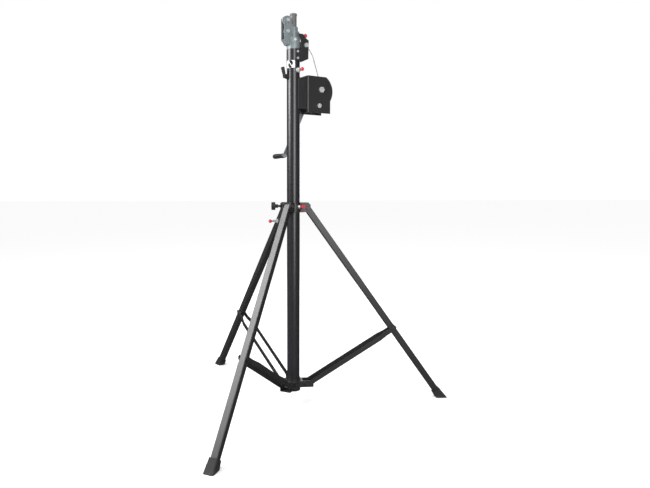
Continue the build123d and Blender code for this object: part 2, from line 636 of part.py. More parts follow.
# Clamping lever below the label -------------------------------------------------------------------
LEVER_Z = 1533.0
BACK_AZ = WINCH_AZ + 180
with BuildPart() as clamp_boss:
    with BuildSketch(facing(BACK_AZ, 24, LEVER_Z)):
        Circle(11)
    extrude(amount=14)
    with BuildSketch(Plane.XY.offset(LEVER_Z - 20)):
        Circle(MAST_R)
    extrude(amount=40, mode=Mode.SUBTRACT)
write(clamp_boss.part, "clamp_boss")

with BuildPart() as clamp_lever:
    with BuildSketch(facing(BACK_AZ, 38.3, LEVER_Z)):
        Circle(8.5)
    extrude(amount=12)
    with BuildSketch(Plane(
        origin=heading(BACK_AZ) * 46 + Vector(0, 0, LEVER_Z),
        x_dir=near(BACK_AZ),
        z_dir=heading(BACK_AZ) * sin(radians(14)) + Vector(0, 0, cos(radians(14))),
    )):
        Circle(7)
    extrude(amount=42, taper=-2)
    fillet(clamp_lever.faces().sort_by(Axis.Z)[-1].edges(), 3)
write(clamp_lever.part, "clamp_lever")

# Tripod: fixed collar, sliding collar, legs, feet and braces ---------------------------------------
LUG_WALL, LUG_FOOT, LUG_TOP, LUG_END = 4.0, 82.0, 113.0, 95.0
with BuildPart() as base_collar:
    with BuildSketch(Plane.XY.offset(65.0)):
        Circle(MAST_R + 4)
    extrude(amount=60)
    for azimuth in LEG_AZIMUTHS:
        with BuildSketch(upright(azimuth, -LUG_HALF)):
            outline((20, LUG_FOOT), (LUG_END, LUG_FOOT), (LUG_END, LUG_TOP - 8), (LUG_END - 8, LUG_TOP),
                    (20, LUG_TOP))
        extrude(amount=2 * LUG_HALF)
    for azimuth in LEG_AZIMUTHS:
        with BuildSketch(upright(azimuth, LUG_WALL - LUG_HALF)):
            outline((44, LUG_FOOT + LUG_WALL), (100, LUG_FOOT + LUG_WALL), (100, 120), (44, 120))
        extrude(amount=2 * (LUG_HALF - LUG_WALL), mode=Mode.SUBTRACT)
        drill(azimuth, (PIVOT_R, BRACE_FOOT_Z), 4, 40)
    with BuildSketch(Plane.XY.offset(60.0)):
        Circle(MAST_R)
    extrude(amount=70, mode=Mode.SUBTRACT)
write(base_collar.part, "base_collar")

BRACE_BOLT_HALF = LUG_HALF + BRACE_GAP + BRACE_BAR + BRACE_GAP
brace_bolts = [bolt_across(a, (PIVOT_R, BRACE_FOOT_Z), 4, BRACE_BOLT_HALF, 5) for a in LEG_AZIMUTHS]
write(Compound(children=brace_bolts), "brace_bolts")

CHEEK_GAP = 0.6
LEG_CHEEK_IN = LEG_SIZE / 2 + CHEEK_GAP
LEG_CHEEK_OUT = LEG_CHEEK_IN + 4
COLLAR_FOOT, COLLAR_TOP = 918.0, 964.0
with BuildPart() as leg_collar:
    with BuildSketch(Plane.XY.offset(COLLAR_FOOT)):
        Circle(COLLAR_R)
    extrude(amount=COLLAR_TOP - COLLAR_FOOT - 6)
    for azimuth in LEG_AZIMUTHS:
        with BuildSketch(upright(azimuth, -LEG_CHEEK_OUT)):
            with BuildLine():
                Polyline((30, COLLAR_TOP), (68, COLLAR_TOP), (79, 953), (79, 932), (68, 921), (44, COLLAR_FOOT),
                         (30, COLLAR_FOOT), (30, COLLAR_TOP))
            make_face()
        extrude(amount=2 * LEG_CHEEK_OUT)
    for azimuth in LEG_AZIMUTHS:
        with BuildSketch(upright(azimuth, -LEG_CHEEK_IN)):
            outline((40, 900), (90, 900), (90, 960.5), (40, 960.5))
        extrude(amount=2 * LEG_CHEEK_IN, mode=Mode.SUBTRACT)
        drill(azimuth, (PIVOT_R, PIVOT_Z), 5, 30)
    with BuildSketch(facing(CLAMP_AZ, 32, 947)):
        Rectangle(22, 30)
    extrude(amount=28)
    with BuildSketch(Plane.XY.offset(COLLAR_FOOT - 5)):
        Circle(MAST_R + 0.4)
    extrude(amount=60, mode=Mode.SUBTRACT)
    with BuildSketch(facing(PIN_AZ, 28, COLLAR_PIN_Z)):
        Circle(3 + FIT)
    extrude(amount=12, mode=Mode.SUBTRACT)
    with BuildSketch(facing(CLAMP_AZ, 28, 947)):
        Circle(5 + FIT)
    extrude(amount=40, mode=Mode.SUBTRACT)
write(leg_collar.part, "leg_collar")

leg_bolts = [bolt_across(a, (PIVOT_R, PIVOT_Z), 5, LEG_CHEEK_OUT, 5) for a in LEG_AZIMUTHS]
write(Compound(children=leg_bolts), "leg_bolts")

LOBES = 6
with BuildPart() as clamp_knob:
    with BuildSketch(facing(CLAMP_AZ, 30.9, 947)):
        Circle(5)
    extrude(amount=44)
    with BuildSketch(facing(CLAMP_AZ, 72, 947)):
        Circle(8.5)
    extrude(amount=14)
    with BuildSketch(facing(CLAMP_AZ, 85, 947)):
        Circle(17.5)
        with PolarLocations(15.5, LOBES):
            Circle(4.5)
    extrude(amount=17)
    fillet(clamp_knob.faces().sort_by(Axis.X)[0].edges(), 1.5)
write(clamp_knob.part, "clamp_knob")

LEG_TOP = -14.0                # the tube starts this far above its hinge
LEG_END = LEG_LENGTH - 26.0
FOOT_START = LEG_LENGTH - 46.0
PIN_ON_LEG = 80.0


def down_leg(azimuth, along):
    """Plane square to a leg at a distance below its hinge; it grows down the leg."""
    down = heading(azimuth) * sin(radians(LEG_LEAN)) - Vector(0, 0, cos(radians(LEG_LEAN)))
    origin = heading(azimuth) * PIVOT_R + Vector(0, 0, PIVOT_Z) + down * along
    return Plane(origin=origin, x_dir=near(azimuth), z_dir=down)


def leg(azimuth):
    """Square tube with the bore of its hinge bolt."""
    with BuildPart() as tube:
        with BuildSketch(down_leg(azimuth, LEG_TOP)):
            RectangleRounded(LEG_SIZE, LEG_SIZE, 3.5)
            RectangleRounded(LEG_SIZE - 2 * WALL, LEG_SIZE - 2 * WALL, 1.5, mode=Mode.SUBTRACT)
        extrude(amount=LEG_END - LEG_TOP)
        drill(azimuth, (PIVOT_R, PIVOT_Z), 5 + FIT, 30)
    return tube.part


def foot(azimuth):
    """Rubber shoe around the end of a leg, cut flat by the floor."""
    with BuildPart() as shoe:
        with BuildSketch(down_leg(azimuth, FOOT_START)):
            RectangleRounded(38, 38, 5)
        extrude(amount=24, taper=-3)
        with BuildSketch(down_leg(azimuth, LEG_LENGTH - 24)):
            RectangleRounded(41, 41, 5)
        extrude(amount=54, taper=-4)
        with BuildSketch(down_leg(azimuth, FOOT_START - 1)):
            RectangleRounded(LEG_SIZE, LEG_SIZE, 3.5)
        extrude(amount=LEG_END - FOOT_START + 1, mode=Mode.SUBTRACT)
        with BuildSketch(Plane.XY.offset(-200)):
            Circle(1500)
        extrude(amount=200, mode=Mode.SUBTRACT)
    return shoe.part


def brace(azimuth):
    """Two flat bars that flank the lug and close in on the leg, with short studs at the leg."""
    side_view = tilted(azimuth, (PIVOT_R, BRACE_FOOT_Z), BRACE_RISE)
    plan = Plane(origin=side_view.origin, x_dir=side_view.x_dir, z_dir=side_view.y_dir)
    wide = LUG_HALF + BRACE_GAP
    narrow = LEG_SIZE / 2 + CHEEK_GAP
    end = BRACE_LENGTH + 21
    with BuildPart() as bars:
        with BuildSketch(plan.offset(-BRACE_HALF_HEIGHT)):
            for sign in (-1, 1):
                inner = [(-11, wide), (BRACE_LENGTH - 80, wide), (BRACE_LENGTH - 40, narrow), (end, narrow)]
                outer = [(x, y + BRACE_BAR) for x, y in reversed(inner)]
                outline(*[(x, sign * y) for x, y in inner + outer])
        extrude(amount=2 * BRACE_HALF_HEIGHT)
        with BuildSketch(side_view.offset(-40)):
            outline((0, -BRACE_HALF_HEIGHT), (end - 14, -BRACE_HALF_HEIGHT), (end, 0),
                    (end - 6, BRACE_HALF_HEIGHT), (0, BRACE_HALF_HEIGHT))
            Circle(BRACE_HALF_HEIGHT)
        extrude(amount=80, mode=Mode.INTERSECT)
        with BuildSketch(side_view.offset(-40)):
            Circle(4 + FIT)
        extrude(amount=80, mode=Mode.SUBTRACT)
        for start in (narrow + BRACE_BAR, -narrow - BRACE_BAR - 4):
            with BuildSketch(side_view.offset(start)):
                with Locations((BRACE_LENGTH, 0)):
                    Circle(8)
            extrude(amount=4)
    return bars.part


for number, azimuth in enumerate(LEG_AZIMUTHS, start=1):
    write(leg(azimuth), f"leg_{number}")
    write(foot(azimuth), f"foot_{number}")
    write(brace(azimuth), f"brace_{number}")

PIN_LEG_AZ = LEG_AZIMUTHS[1]
pin_spot = down_leg(PIN_LEG_AZ, PIN_ON_LEG).origin
SIDEWAYS = -near(PIN_LEG_AZ)


def turned_sideways(profile):
    """Turned piece that stands out of the side of the second leg; profile is (side, radius)."""
    plane = Plane(origin=pin_spot, x_dir=SIDEWAYS, z_dir=heading(PIN_LEG_AZ))
    with BuildPart() as piece:
        with BuildSketch(plane):
            outline(*profile)
        revolve(axis=Axis(pin_spot, SIDEWAYS))
    return piece.part


HALF_LEG = LEG_SIZE / 2
write(turned_sideways([
    (HALF_LEG, 3.5 + FIT), (HALF_LEG, 10), (HALF_LEG + 3, 10), (HALF_LEG + 3, 6.5), (34, 6.5), (34, 3.5 + FIT),
]), "leg_pin_sleeve")
write(turned_sideways([(HALF_LEG + 0.3, 0), (HALF_LEG + 0.3, 3.5), (54, 3.5), (54, 0)]), "leg_pin")
with BuildPart() as leg_pin_knob:
    with Locations(pin_spot + SIDEWAYS * 56):
        Sphere(8.5)
    with BuildSketch(Plane(origin=pin_spot + SIDEWAYS * 40, z_dir=SIDEWAYS)):
        Circle(3.5)
    extrude(amount=14, mode=Mode.SUBTRACT)
write(leg_pin_knob.part, "leg_pin_knob")
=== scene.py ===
"""Wind-up lighting stand: finishes, weld beads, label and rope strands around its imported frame.

Units are metres. Places beside the mast are given as (out, side, up): out along a heading from the
mast axis, side square to it, and up from the floor, as they are in the part.
"""

from __future__ import annotations

import json
import logging
import math
from dataclasses import dataclass, field
from enum import Enum
from typing import Any, Callable, Iterable, Sequence

import bmesh
import bpy
from mathutils import Euler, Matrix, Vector


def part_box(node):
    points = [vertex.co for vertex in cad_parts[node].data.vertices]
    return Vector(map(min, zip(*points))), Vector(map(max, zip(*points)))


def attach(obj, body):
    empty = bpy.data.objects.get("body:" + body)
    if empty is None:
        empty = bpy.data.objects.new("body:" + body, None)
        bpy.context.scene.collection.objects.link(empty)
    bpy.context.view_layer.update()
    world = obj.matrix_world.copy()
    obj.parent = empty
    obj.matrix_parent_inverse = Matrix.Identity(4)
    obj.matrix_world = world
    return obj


log = logging.getLogger("lighting_stand")
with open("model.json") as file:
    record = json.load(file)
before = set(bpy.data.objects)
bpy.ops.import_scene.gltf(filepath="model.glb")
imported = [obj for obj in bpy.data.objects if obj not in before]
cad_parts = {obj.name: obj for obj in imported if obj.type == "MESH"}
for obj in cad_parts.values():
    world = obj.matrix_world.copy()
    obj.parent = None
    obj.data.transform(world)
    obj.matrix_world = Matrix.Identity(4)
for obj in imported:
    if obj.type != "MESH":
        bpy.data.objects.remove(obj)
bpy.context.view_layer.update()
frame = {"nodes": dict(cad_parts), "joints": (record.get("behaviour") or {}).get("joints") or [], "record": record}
MM = 0.001
Colour = tuple[float, float, float]
Skin = tuple[list[Vector], list[tuple[int, ...]]]   # vertices and faces
WHITE: Colour = (1.0, 1.0, 1.0)


class Slot(Enum):
    """Material slots of the part."""

    BLACK_TUBE = "black_tube"
    BLACK_STEEL = "black_steel"
    ZINC = "zinc_plate"
    MID_STEEL = "mid_steel"
    INNER_STEEL = "inner_steel"
    GEAR = "gear_steel"
    ROPE = "wire_rope"
    RED = "red_plastic"
    BLACK_PLASTIC = "black_plastic"
    NYLON = "bush_plastic"
    RUBBER = "rubber"
    LABEL = "label"


# Shader nodes ------------------------------------------------------------------------------------
class Value:
    """An output socket that takes part in arithmetic."""

    def __init__(self, graph: Graph, socket: bpy.types.NodeSocket) -> None:
        """Wrap a socket.

        Args:
            graph: the graph that the socket belongs to.
            socket: the output socket.
        """
        self.graph = graph
        self.socket = socket

    def _math(self, operation: str, first: Any, second: Any) -> Value:
        """Return the result of one Math node."""
        return self.graph.node("ShaderNodeMath", {"operation": operation}, {0: first, 1: second})

    def __add__(self, other: Any) -> Value:
        """Sum of two values."""
        return self._math("ADD", self, other)

    def __rsub__(self, other: Any) -> Value:
        """A number less this value."""
        return self._math("SUBTRACT", other, self)

    def __mul__(self, other: Any) -> Value:
        """Product of two values."""
        return self._math("MULTIPLY", self, other)

    __radd__ = __add__
    __rmul__ = __mul__


class Graph:
    """The node tree of one material."""

    def __init__(self, material: bpy.types.Material) -> None:
        """Start from an empty tree.

        Args:
            material: the material whose nodes are made.
        """
        material.use_nodes = True
        self.tree = material.node_tree
        self.tree.nodes.clear()

    def node(
        self,
        kind: str,
        settings: dict[str, Any] | None = None,
        inputs: dict[int | str, Any] | None = None,
        output: int | str = 0,
    ) -> Value:
        """Make one node.

        Args:
            kind: the node's type.
            settings: its properties; stops is a ramp's list of (place, colour).
            inputs: values or links of its sockets.
            output: the output that is returned.

        Returns:
            The wrapped output socket.
        """
        made = self.tree.nodes.new(kind)
        for name, value in (settings or {}).items():
            if name == "stops":
                elements = made.color_ramp.elements
                for element, (place, colour) in zip(elements, value):
                    element.position = place
                    element.color = (*colour, 1.0)
            else:
                setattr(made, name, value)
        for key, value in (inputs or {}).items():
            if isinstance(value, Value):
                self.tree.links.new(value.socket, made.inputs[key])
            else:
                made.inputs[key].default_value = value
        return Value(self, made.outputs[output] if made.outputs else None)

    def place(self, stretch: Sequence[float] = (1.0, 1.0, 1.0)) -> Value:
        """Object coordinates, scaled along each axis.

        Args:
            stretch: the scale along X, Y and Z.

        Returns:
            The coordinates.
        """
        point = self.node("ShaderNodeTexCoord", output="Object")
        return self.node("ShaderNodeVectorMath", {"operation": "MULTIPLY"}, {0: point, 1: tuple(stretch)})

    def noise(self, scale: float, detail: float = 3.0, stretch: Sequence[float] = (1.0, 1.0, 1.0)) -> Value:
        """Noise from 0 to 1.

        Args:
            scale: cells per metre.
            detail: octaves.
            stretch: the scale along each axis.

        Returns:
            The noise's factor.
        """
        inputs = {"Vector": self.place(stretch), "Scale": scale, "Detail": detail}
        return self.node("ShaderNodeTexNoise", None, inputs)

    def ramp(self, value: Value, low: float, high: float) -> Value:
        """0 below low and 1 above high, with a straight run between.

        Args:
            value: what is ramped.
            low: where it leaves 0.
            high: where it reaches 1.

        Returns:
            The ramped value.
        """
        inputs = {"Value": value, "From Min": low, "From Max": high}
        return self.node("ShaderNodeMapRange", {"clamp": True}, inputs)

    def blend(self, factor: Value | float, first: Any, second: Any) -> Value:
        """Colour between two colours.

        Args:
            factor: 0 for the first and 1 for the second.
            first: a colour or a link.
            second: a colour or a link.

        Returns:
            The mixed colour.
        """
        first, second = ((*c, 1.0) if isinstance(c, tuple) else c for c in (first, second))
        return self.node("ShaderNodeMix", {"data_type": "RGBA"}, {0: factor, 6: first, 7: second}, output=2)

    def bump(self, height: Value, distance: float, strength: float, under: Value | None = None) -> Value:
        """Normal of a surface with small relief.

        Args:
            height: the relief, 0 to 1.
            distance: its depth in metres.
            strength: how much of it shows.
            under: the normal that it stands on.

        Returns:
            The normal.
        """
        inputs: dict[int | str, Any] = {"Height": height, "Distance": distance, "Strength": strength}
        if under is not None:
            inputs["Normal"] = under
        return self.node("ShaderNodeBump", None, inputs)

    def soft_edge(self, radius: float) -> Value:
        """Normal that rounds sharp edges over a small radius.

        Args:
            radius: the edge radius in metres.

        Returns:
            The normal.
        """
        return self.node("ShaderNodeBevel", {"samples": 6}, {"Radius": radius})

    def surface(self, **inputs: Any) -> None:
        """Close the tree with a Principled shader.

        Args:
            **inputs: its sockets, with spaces in their names as underscores.
        """
        named = {name.replace("_", " "): value for name, value in inputs.items()}
        for name in ("Base Color", "Coat Tint"):
            if isinstance(named.get(name), tuple):
                named[name] = (*named[name], 1.0)
        shader = self.node("ShaderNodeBsdfPrincipled", None, named)
        self.node("ShaderNodeOutputMaterial", None, {"Surface": shader})


# Finishes ----------------------------------------------------------------------------------------
@dataclass(frozen=True)
class Finish:
    """One finish of the stand."""

    name: str

    def paint(self, graph: Graph) -> None:
        """Fill the material's nodes.

        Args:
            graph: the empty node tree.
        """
        raise NotImplementedError

    def material(self) -> bpy.types.Material:
        """The finish's material, made at its first use under a name that the frame doesn't use."""
        found = bpy.data.materials.get(self.name)
        if found is None:
            found = bpy.data.materials.new(self.name)
            self.paint(Graph(found))
        return found


@dataclass(frozen=True)
class PowderCoat(Finish):
    """Satin black powder coat with orange peel, faint handling marks and settled dust."""

    tone: Colour = (0.016, 0.016, 0.017)
    roughness: float = 0.34
    peel: float = 900.0
    edge: float = 0.9 * MM

    def paint(self, graph: Graph) -> None:
        """Fill the material's nodes."""
        cloud = graph.noise(9.0, 4.0)
        rubbed = graph.ramp(graph.noise(60.0, 5.0, (1.0, 1.0, 0.12)), 0.56, 0.80)
        specks = graph.ramp(graph.noise(420.0, 2.0), 0.70, 0.76)
        body = graph.blend(cloud, self.tone, tuple(c * 1.35 for c in self.tone))
        worn = graph.blend(rubbed * 0.2, body, tuple(c * 2.2 for c in self.tone))
        dusty = graph.blend(specks * 0.05, worn, (0.16, 0.15, 0.14))
        peel = graph.noise(self.peel, 2.0)
        graph.surface(
            Base_Color=dusty,
            Roughness=cloud * 0.08 + rubbed * 0.05 + (self.roughness - 0.04),
            IOR=1.85,
            Normal=graph.bump(peel, 0.02 * MM, 0.06, graph.soft_edge(self.edge)),
        )


@dataclass(frozen=True)
class ZincPlate(Finish):
    """Bright zinc plate: blue-grey with a cloudy bloom, fine scratches and darker pickled patches."""

    tone: Colour = (0.27, 0.315, 0.33)
    roughness: float = 0.42
    edge: float = 0.7 * MM
    metal: float = 0.45

    def paint(self, graph: Graph) -> None:
        """Fill the material's nodes."""
        bloom = graph.noise(38.0, 5.0)
        dull = graph.ramp(graph.noise(90.0, 4.0), 0.45, 0.75)
        scratch = graph.ramp(graph.noise(500.0, 3.0, (1.0, 1.0, 0.06)), 0.58, 0.70)
        base = graph.blend(bloom, tuple(c * 0.72 for c in self.tone), self.tone)
        patched = graph.blend(dull * 0.55, base, (0.13, 0.15, 0.165))
        graph.surface(
            Base_Color=graph.blend(scratch * 0.35, patched, (0.72, 0.74, 0.75)),
            Metallic=self.metal,
            Roughness=dull * 0.16 + scratch * 0.08 + self.roughness,
            Normal=graph.bump(graph.noise(260.0, 3.0), 0.05 * MM, 0.25, graph.soft_edge(self.edge)),
        )


@dataclass(frozen=True)
class DrawnTube(Finish):
    """Drawn steel tube with lines along its length and a film of old oil."""

    tone: Colour = (0.20, 0.20, 0.20)
    film: Colour = (0.07, 0.062, 0.055)
    roughness: float = 0.34
    metal: float = 0.8

    def paint(self, graph: Graph) -> None:
        """Fill the material's nodes."""
        lines = graph.noise(700.0, 3.0, (1.0, 1.0, 0.02))
        film = graph.ramp(graph.noise(30.0, 5.0, (1.0, 1.0, 0.35)), 0.35, 0.70)
        streaked = graph.blend(lines, self.tone, tuple(c * 1.3 for c in self.tone))
        graph.surface(
            Base_Color=graph.blend(film, streaked, self.film),
            Metallic=self.metal,
            Roughness=lines * 0.10 + film * 0.12 + self.roughness,
            Normal=graph.bump(lines, 0.03 * MM, 0.25, graph.soft_edge(0.5 * MM)),
        )


@dataclass(frozen=True)
class GreasedSteel(Finish):
    """Machined gear steel with dark grease in its hollows."""

    tone: Colour = (0.30, 0.29, 0.27)
    grease: Colour = (0.035, 0.026, 0.018)

    def paint(self, graph: Graph) -> None:
        """Fill the material's nodes."""
        smear = graph.ramp(graph.noise(70.0, 5.0), 0.42, 0.62)
        turned = graph.noise(900.0, 2.0)
        graph.surface(
            Base_Color=graph.blend(smear, self.tone, self.grease),
            Metallic=1.0 - smear * 0.75,
            Roughness=0.42 - smear * 0.20 + turned * 0.06,
            Normal=graph.bump(graph.noise(160.0, 3.0), 0.10 * MM, 0.3, graph.soft_edge(0.4 * MM)),
        )


@dataclass(frozen=True)
class RopeWire(Finish):
    """Galvanised wire with a dull spangle and traces of oil between the strands."""

    tone: Colour = (0.56, 0.56, 0.55)

    def paint(self, graph: Graph) -> None:
        """Fill the material's nodes."""
        oil = graph.ramp(graph.noise(240.0, 4.0), 0.48, 0.72)
        graph.surface(
            Base_Color=graph.blend(oil, self.tone, (0.17, 0.16, 0.145)),
            Metallic=0.5,
            Roughness=oil * 0.12 + 0.36,
            Normal=graph.bump(graph.noise(1800.0, 2.0), 0.05 * MM, 0.4),
        )


@dataclass(frozen=True)
class MouldedPlastic(Finish):
    """Moulded plastic with a fine spark-eroded grain."""

    tone: Colour = (0.018, 0.018, 0.018)
    roughness: float = 0.45
    grain: float = 1400.0
    gloss_coat: float = 0.0

    def paint(self, graph: Graph) -> None:
        """Fill the material's nodes."""
        grain = graph.noise(self.grain, 2.0)
        scuff = graph.ramp(graph.noise(130.0, 5.0), 0.60, 0.78)
        pale = tuple(min(1.0, c * 1.25 + 0.02) for c in self.tone)
        graph.surface(
            Base_Color=graph.blend(scuff * 0.4, self.tone, pale),
            Roughness=scuff * 0.14 + grain * 0.05 + self.roughness,
            Coat_Weight=self.gloss_coat,
            Coat_Roughness=0.08,
            Normal=graph.bump(grain, 0.05 * MM, 0.2, graph.soft_edge(0.5 * MM)),
        )


@dataclass(frozen=True)
class Rubber(Finish):
    """Matt black rubber, scuffed pale low down where it meets the floor."""

    tone: Colour = (0.017, 0.017, 0.017)

    def paint(self, graph: Graph) -> None:
        """Fill the material's nodes."""
        height = graph.node("ShaderNodeSeparateXYZ", None, {0: graph.place()}, output=2)
        low = 1.0 - graph.ramp(height, 0.0, 0.018)
        scuff = graph.ramp(graph.noise(180.0, 6.0), 0.46, 0.66)
        graph.surface(
            Base_Color=graph.blend(low * scuff * 0.6, self.tone, (0.075, 0.072, 0.068)),
            Roughness=scuff * 0.10 + 0.60,
            Normal=graph.bump(graph.noise(900.0, 3.0), 0.12 * MM, 0.35, graph.soft_edge(1.2 * MM)),
        )


@dataclass(frozen=True)
class PrintedFilm(Finish):
    """Printed vinyl film with a slight ripple where it is stuck down."""

    tone: Colour = (0.68, 0.68, 0.69)

    def paint(self, graph: Graph) -> None:
        """Fill the material's nodes."""
        soil = graph.ramp(graph.noise(120.0, 5.0), 0.55, 0.85)
        graph.surface(
            Base_Color=graph.blend(soil * 0.25, self.tone, tuple(c * 0.78 for c in self.tone)),
            Roughness=soil * 0.1 + 0.5,
            Specular_IOR_Level=0.2,
            Normal=graph.bump(graph.noise(140.0, 2.0), 0.04 * MM, 0.15),
        )


FINISHES: dict[Slot, Finish] = {
    Slot.BLACK_TUBE: PowderCoat("satin_black_tube", (0.0125, 0.0125, 0.0145), 0.30, 1100.0, 0.05 * MM),
    Slot.BLACK_STEEL: PowderCoat("satin_black_steel", (0.0135, 0.0132, 0.0132), 0.38),
    Slot.ZINC: ZincPlate("blue_zinc_plate"),
    Slot.MID_STEEL: DrawnTube("plated_tube", (0.25, 0.26, 0.29), (0.18, 0.19, 0.21), 0.42, 0.25),
    Slot.INNER_STEEL: DrawnTube("oiled_tube", (0.20, 0.195, 0.19), (0.11, 0.104, 0.10), 0.46, 0.45),
    Slot.GEAR: GreasedSteel("greased_gear_steel"),
    Slot.ROPE: RopeWire("galvanised_wire"),
    Slot.RED: MouldedPlastic("red_knob_plastic", (0.44, 0.028, 0.040), 0.30, 900.0, 0.4),
    Slot.BLACK_PLASTIC: MouldedPlastic("grained_black_plastic"),
    Slot.NYLON: MouldedPlastic("grey_nylon", (0.17, 0.175, 0.195), 0.48),
    Slot.RUBBER: Rubber("black_rubber"),
    Slot.LABEL: PrintedFilm("white_film"),
}
BOLT_ZINC = ZincPlate("bright_bolt_zinc", (0.70, 0.72, 0.73), 0.26, 0.4 * MM, 0.45)
MARK_INK = PrintedFilm("black_ink", (0.012, 0.012, 0.013))
BOLT_NODES = (
    "mast_fasteners", "pulley_axle", "drum_axle", "sheave_bolts", "grip_spindle", "brace_bolts",
    "leg_bolts", "mast_pin_sleeve", "collar_pin_sleeve", "leg_pin_sleeve", "pawl_pin", "crank_shaft",
)
COATED_BOLTS = ("brace_bolts", "leg_bolts")


# Places and mesh helpers -------------------------------------------------------------------------
@dataclass(frozen=True)
class Heading:
    """An upright plane through the mast axis."""

    azimuth: float

    @property
    def out(self) -> Vector:
        """Unit vector away from the mast."""
        return Vector((math.cos(self.azimuth), math.sin(self.azimuth), 0.0))

    @property
    def near(self) -> Vector:
        """Unit vector square to the plane, on the near side."""
        return Vector((math.sin(self.azimuth), -math.cos(self.azimuth), 0.0))

    def at(self, out: float, side: float, up: float) -> Vector:
        """The point at these distances.

        Args:
            out: distance from the mast axis.
            side: distance towards the near side.
            up: height above the floor.

        Returns:
            The point.
        """
        return self.out * out + self.near * side + Vector((0.0, 0.0, up))


def add_mesh(name: str, vertices: Iterable[Vector], faces: Iterable[Sequence[int]]) -> bpy.types.Object:
    """Link a new smooth mesh object.

    Args:
        name: the piece's name.
        vertices: its points.
        faces: its faces.

    Returns:
        The object.
    """
    data = bpy.data.meshes.new(name)
    data.from_pydata([tuple(v) for v in vertices], [], [tuple(f) for f in faces])
    data.update()
    tidy = bmesh.new()
    tidy.from_mesh(data)
    bmesh.ops.recalc_face_normals(tidy, faces=tidy.faces)
    tidy.to_mesh(data)
    tidy.free()
    data.polygons.foreach_set("use_smooth", [True] * len(data.polygons))
    made = bpy.data.objects.new(name, data)
    bpy.context.scene.collection.objects.link(made)
    return made


def sweep(
    path: Sequence[Vector], radius: Callable[[int, int], float], sides: int, closed: bool = False
) -> Skin:
    """Round skin along a path.

    Args:
        path: the centre line.
        radius: the radius at a step and a side.
        sides: points round the section.
        closed: whether the path is a loop.

    Returns:
        Its vertices and faces.
    """
    vertices: list[Vector] = []
    count = len(path)
    side_axis: Vector | None = None
    for step, point in enumerate(path):
        ahead = path[(step + 1) % count] if closed or step + 1 < count else point
        behind = path[step - 1] if closed or step else point
        along = (ahead - behind).normalized()
        if side_axis is None:
            side_axis = along.orthogonal().normalized()
        side_axis = (side_axis - along * side_axis.dot(along)).normalized()
        other = along.cross(side_axis)
        for side in range(sides):
            angle = math.tau * side / sides
            spoke = side_axis * math.cos(angle) + other * math.sin(angle)
            vertices.append(point + spoke * radius(step, side))
    faces: list[tuple[int, ...]] = []
    for step in range(count if closed else count - 1):
        here, there = step * sides, ((step + 1) % count) * sides
        for side in range(sides):
            after = (side + 1) % sides
            faces.append((here + side, here + after, there + after, there + side))
    if not closed:
        faces.append(tuple(range(sides)))
        faces.append(tuple(range((count - 1) * sides, count * sides)))
    return vertices, faces


def join_skins(skins: Iterable[Skin]) -> Skin:
    """Put several skins into one list of vertices and one of faces.

    Args:
        skins: pairs of vertices and faces.

    Returns:
        The joined pair.
    """
    vertices: list[Vector] = []
    faces: list[tuple[int, ...]] = []
    for points, polygons in skins:
        start = len(vertices)
        vertices += points
        faces += [tuple(start + index for index in polygon) for polygon in polygons]
    return vertices, faces


def dress(piece: bpy.types.Object, finish: Finish, body: str) -> None:
    """Give a new piece its finish and its body.

    Args:
        piece: the piece.
        finish: its finish.
        body: the body that it rides on.
    """
    piece.data.materials.clear()
    piece.data.materials.append(finish.material())
    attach(piece, body)
    log.info("piece %s rides on %s, %d faces", piece.name, body, len(piece.data.polygons))


def joint(name: str) -> dict[str, Any]:
    """The part's joint of that name."""
    return next(j for j in frame["joints"] if j["name"] == name)


# Sub-assemblies ----------------------------------------------------------------------------------
@dataclass
class WeldBead:
    """A weld bead with one lap per ripple and rounded ends."""

    radius: float = 2.0 * MM
    ripple: float = 2.4 * MM
    sides: int = 10

    def skin(self, path: Sequence[Vector], closed: bool = False) -> Skin:
        """Bead along a path of straight or round runs.

        Args:
            path: the line of the joint.
            closed: whether it is a loop.

        Returns:
            The bead's vertices and faces.
        """
        fine: list[Vector] = []
        ends = list(path) + ([path[0]] if closed else [])
        for first, last in zip(ends, ends[1:]):
            steps = max(1, round((last - first).length / (self.ripple / 4)))
            fine += [first.lerp(last, step / steps) for step in range(steps)]
        if not closed:
            fine.append(ends[-1])
        last_step = len(fine) - 1

        def radius(step: int, side: int) -> float:
            """Radius with one lap per ripple and rounded ends."""
            crescent = 0.5 * math.cos(math.tau * side / self.sides)
            lap = 1.0 + 0.10 * abs(math.sin(math.pi * step / 4 + crescent))
            end = 1.0 if closed else min(1.0, 0.25 + min(step, last_step - step) / 4)
            return self.radius * lap * end

        return sweep(fine, radius, self.sides, closed)

    def upright(self, heading: Heading, radius: float, side: float, low: float, high: float) -> Skin:
        """Bead up a tube of that radius, beside a plate at that side.

        Args:
            heading: the plate's heading.
            radius: the tube's outside radius.
            side: the plate's distance from the heading's plane.
            low: the bead's foot.
            high: its top.

        Returns:
            The bead's vertices and faces.
        """
        out = math.sqrt(max(0.0, radius**2 - side**2))
        return self.skin([heading.at(out, side, low), heading.at(out, side, high)])


